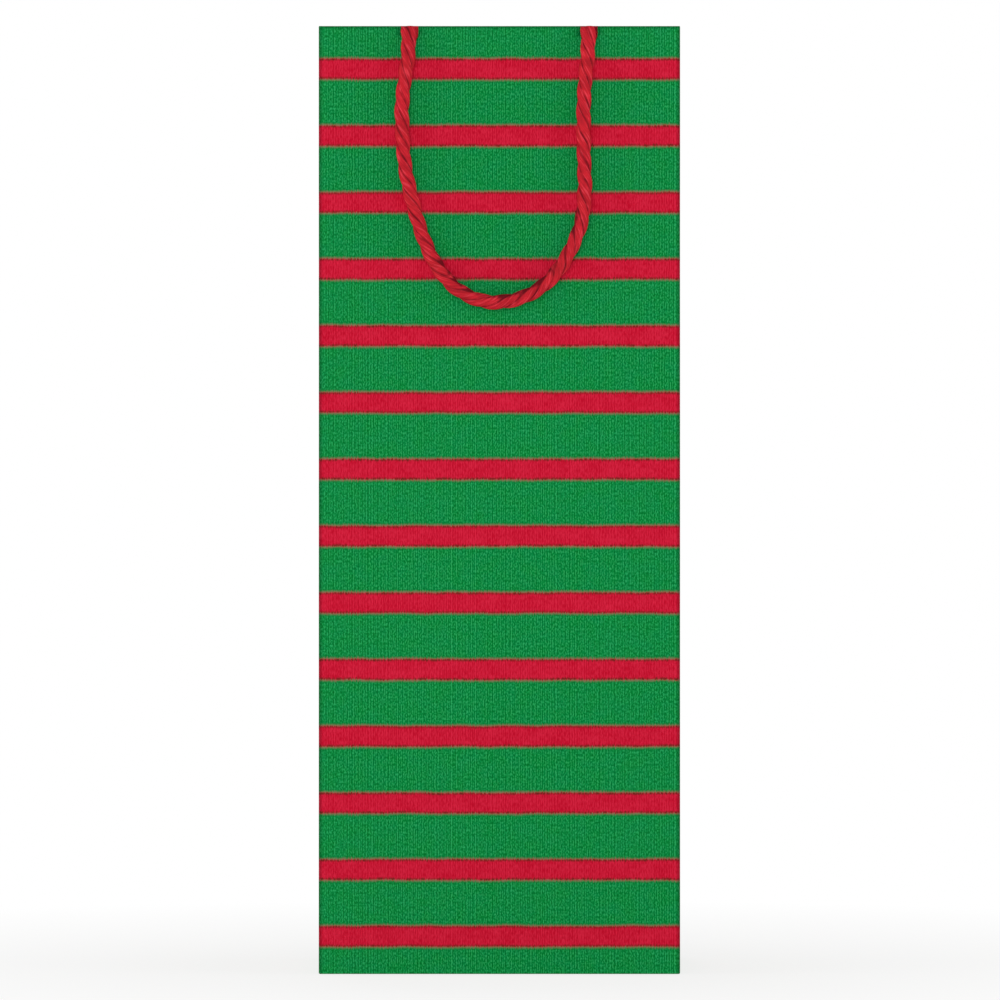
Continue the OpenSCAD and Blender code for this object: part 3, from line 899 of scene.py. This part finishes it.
class GIFTBAG_OT_handles(bpy.types.Operator):
    """Twist the two cord loops that hang from the top fold"""

    bl_idname = "gift_bag.handles"
    bl_label = "Cord handles"

    def execute(self, context):
        front = handle_path()
        near_end = np.minimum(np.arange(len(front)), np.arange(len(front))[::-1]) * PATH_STEP
        # The cord swells a little where it leaves the fold, and its thickness is uneven
        swell, swell_reach, uneven, uneven_length = 0.06, 9 * MM, 0.015, 4.3 * MM
        scale = 1 + swell * np.exp(-(near_end / swell_reach) ** 2)
        scale = scale + uneven * np.sin(near_end / uneven_length)
        # The very end is slimmer, so that its cut face is hidden in the cord end that fills the notch
        slim, slim_reach = 0.75, 1.1 * MM
        scale = scale * np.clip(slim + (1 - slim) * near_end / slim_reach, 0, 1)
        rings, places, crest = rope_rings(front, scale)
        rings[..., 2] = pressed_flat(rings[..., 2])
        for side, turns in WALLS:
            handle = rope_object(side + "_cord_handle", (quarter_turns(rings, turns), places, crest))
            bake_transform(handle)
            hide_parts(side + "_handle")
        return {"FINISHED"}


class GIFTBAG_OT_cord_ends(bpy.types.Operator):
    """Tuck the four cord ends into the top fold, pressed flat inside it"""

    bl_idname = "gift_bag.cord_ends"
    bl_label = "Cord ends"

    def execute(self, context):
        for side, turns in WALLS:
            for x, hand in zip(NOTCH_XS, ("left", "right") if turns == 0 else ("right", "left")):
                node = f"{side}_{hand}_cord_end"
                tubes = [(quarter_turns(rings, turns), places, crest)
                         for rings, places, crest in (cord_plug(x), pressed_tail(x, node))]
                made = rope_object(node + "_rope", *tubes)
                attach(made, "bag")
                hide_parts(node)
        return {"FINISHED"}


class GIFTBAG_OT_walls(bpy.types.Operator):
    """Loft the four printed walls as one folded sheet"""

    bl_idname = "gift_bag.walls"
    bl_label = "Walls"

    def execute(self, context):
        foot = paper_settings().foot_radius
        columns = wall_columns()
        rows = np.concatenate([np.linspace(0, foot, 4, endpoint=False), wall_rows(foot)])
        heights, keep = notched(columns, rows)
        wall = loft(columns, heights, HALF_W, HALF_D, WALL_FOLD, wall_relief)
        paper_pair(WALLS, "wall", "panel", wall, columns, heights, keep=keep)

        # The gusset's grid has a corner at each place where a slanting crease crosses it
        half, columns = gusset_columns(16)
        slant_rows = CREASE_REACH - half[::-1]
        above = steps_through(CREASE_REACH, (HEIGHT - SIDE_FOLD, 41), (HEIGHT, 4))
        rows = np.concatenate([np.linspace(0, slant_rows[0], 4, endpoint=False), slant_rows[:-1], above])
        heights = np.tile(rows[:, None], len(columns))
        gusset = loft(columns, heights, HALF_D, HALF_W, SIDE_FOLD, gusset_relief)
        split = slant_cuts(rows, columns, half, slant_rows)
        paper_pair(GUSSETS, "wall", "gusset", gusset, columns, heights, split=split)
        return {"FINISHED"}


class GIFTBAG_OT_turned_top(bpy.types.Operator):
    """Turn the top of the sheet in over the stiffening cards"""

    bl_idname = "gift_bag.turned_top"
    bl_label = "Turned top"

    def execute(self, context):
        columns = wall_columns()
        heights, keep = notched(columns, wall_rows(HEM_FOOT))
        hem = loft(columns, heights, HALF_W, HALF_D, WALL_FOLD, wall_relief, turned=True)
        paper_pair(WALLS, "turned_top", "hem", hem, columns, heights, turned=True, keep=keep)
        _, columns = gusset_columns(9)
        rows = steps_through(HEM_FOOT, (HEIGHT - SIDE_FOLD, 8), (HEIGHT, 4))
        heights = np.tile(rows[:, None], len(columns))
        hem = loft(columns, heights, HALF_D, HALF_W, SIDE_FOLD, gusset_relief, turned=True)
        paper_pair(GUSSETS, "turned_top", "hem", hem, columns, heights, turned=True)
        return {"FINISHED"}


class GIFTBAG_OT_bottom(bpy.types.Operator):
    """Fold the four bottom flaps and lap the long ones"""

    bl_idname = "gift_bag.bottom"
    bl_label = "Bottom flaps"

    def execute(self, context):
        foot, lap = paper_settings().foot_radius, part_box("back_bottom_flap")[0].y
        ramp, ramp_gap = 3 * MM, 0.2 * MM
        for turns, name in enumerate(("front", "right", "back", "left")):
            node = name + "_bottom_flap"
            low, high = (quarter_turns(corner, -turns % 4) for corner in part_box(node))
            low, high = np.minimum(low, high), np.maximum(low, high)
            long_flap = turns % 2 == 0
            half_out = HALF_D if long_flap else HALF_W
            y = np.linspace(foot - half_out if long_flap else low[1], high[1], 30)[:, None]
            half = high[0] - flap_taper(name) * (y - low[1]) / (high[1] - low[1])
            across = np.linspace(-1, 1, 25)[None, :] * half
            # The front flap rises by the paper's thickness, to lie on the back one
            rise = np.clip((y - (lap - ramp_gap - ramp)) / ramp, 0, 1)
            z = PAPER * rise * rise * (3 - 2 * rise) if name == "front" else low[2]
            points = np.stack(np.broadcast_arrays(across, y, z), -1)
            sheet = np.stack(np.broadcast_arrays(across + turns * sheet_quarter(), -y - half_out), -1)
            paper_piece(name + "_flap", node, quarter_turns(points, turns), sheet, flip=True)
        return {"FINISHED"}


class GIFTBAG_OT_seam(bpy.types.Operator):
    """Glue the sheet's seam inside the back wall"""

    bl_idname = "gift_bag.seam"
    bl_label = "Glued seam"

    def execute(self, context):
        low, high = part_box("glue_flap")
        across, z = np.meshgrid(np.linspace(-high.x, -low.x, 6), np.linspace(low.z, high.z, 60))
        out = HALF_D - 2 * PAPER + wall_relief(across, z)
        points = quarter_turns(np.stack([across, -out, z], -1), 2)
        paper_piece("glued_seam", "glue_flap", points, np.stack([across, z], -1), flip=True, printed=False)
        return {"FINISHED"}


class GIFTBAG_OT_cards(bpy.types.Operator):
    """Finish the stiffening cards, the base card and the barbs"""

    bl_idname = "gift_bag.cards"
    bl_label = "Cards and barbs"

    def execute(self, context):
        finishes = {
            "hem_card": make_material("Grey pulp board", lined_board, "#b9b4a8", "#8f887a", "Y"),
            "base_card": make_material("White-lined pulp board", lined_board, "#ebe8e0", "#a39a88", "Z"),
            "barb": make_material("Stamped plated steel", stamped_steel),
        }
        for name, node in frame["nodes"].items():
            for ending, material in finishes.items():
                if name.endswith(ending):
                    node.data.materials.clear()
                    node.data.materials.append(material)
        return {"FINISHED"}


class GIFTBAG_OT_stage(bpy.types.Operator):
    """Lay the pale floor and set the soft studio lamps"""

    bl_idname = "gift_bag.stage"
    bl_label = "Stage"

    def execute(self, context):
        stage = stage_settings()
        scene = context.scene
        scene.view_settings.view_transform = "Standard"
        side, low = 3.0, -0.1 * MM
        corners = [(-side, -side, low), (side, -side, low), (side, side, low), (-side, side, low)]
        white_sheet = make_material("Matt white floor", studio_floor)
        make_object("floor", corners, [(0, 1, 2, 3)], [white_sheet])

        world = bpy.data.worlds.new("Soft white sky")
        world.use_nodes = True
        world.node_tree.nodes.clear()
        node = partial(add, world.node_tree)
        strength = node("MapRange", {0: seen_directly(node), 3: stage.world_strength, 4: 1})
        sky = node("Background", {"Color": linear("#ffffff"), "Strength": strength})
        node("OutputWorld", {0: sky})
        scene.world = world

        middle = Vector((0, 0, HEIGHT / 2))
        for name, place, size, power in (
            ("Key lamp", (-0.25, -2.2, 0.35), 1.2, stage.key_power),
            ("Right fill lamp", (1.5, -0.3, 0.6), 1.0, stage.fill_power),
            ("Left fill lamp", (-1.5, -0.3, 0.6), 1.0, stage.fill_power),
            ("Rear fill lamp", (-0.3, 1.6, 0.7), 1.0, stage.fill_power),
        ):
            light = bpy.data.lights.new(name, "AREA")
            light.size = size
            light.energy = power
            lamp = bpy.data.objects.new(name, light)
            scene.collection.objects.link(lamp)
            lamp.location = place
            lamp.rotation_euler = (middle - Vector(place)).to_track_quat("-Z", "Y").to_euler()
        return {"FINISHED"}


OPERATORS = (
    GIFTBAG_OT_camera,
    GIFTBAG_OT_handles,
    GIFTBAG_OT_cord_ends,
    GIFTBAG_OT_walls,
    GIFTBAG_OT_turned_top,
    GIFTBAG_OT_bottom,
    GIFTBAG_OT_seam,
    GIFTBAG_OT_cards,
    GIFTBAG_OT_stage,
)


class GIFTBAG_PT_sidebar(bpy.types.Panel):
    """Lists the bag's settings and the steps that build it"""

    bl_label = "Wine gift bag"
    bl_idname = "GIFTBAG_PT_sidebar"
    bl_space_type = "VIEW_3D"
    bl_region_type = "UI"
    bl_category = "Gift bag"

    def draw(self, context):
        for group_name, group in GROUPS.items():
            box = self.layout.box()
            for name in group.__annotations__:
                box.prop(getattr(context.scene, group_name), name)
        for operator in OPERATORS:
            self.layout.operator(operator.bl_idname)


CLASSES = (*GROUPS.values(), *OPERATORS, GIFTBAG_PT_sidebar)


def register():
    for cls in CLASSES:
        bpy.utils.register_class(cls)
    for name, group in GROUPS.items():
        setattr(bpy.types.Scene, name, PointerProperty(type=group))


def unregister():
    for name in GROUPS:
        delattr(bpy.types.Scene, name)
    for cls in reversed(CLASSES):
        bpy.utils.unregister_class(cls)


def main():
    register()
    for operator in OPERATORS:
        group, name = operator.bl_idname.split(".")
        getattr(getattr(bpy.ops, group), name)()


if __name__ == "__main__":
    main()
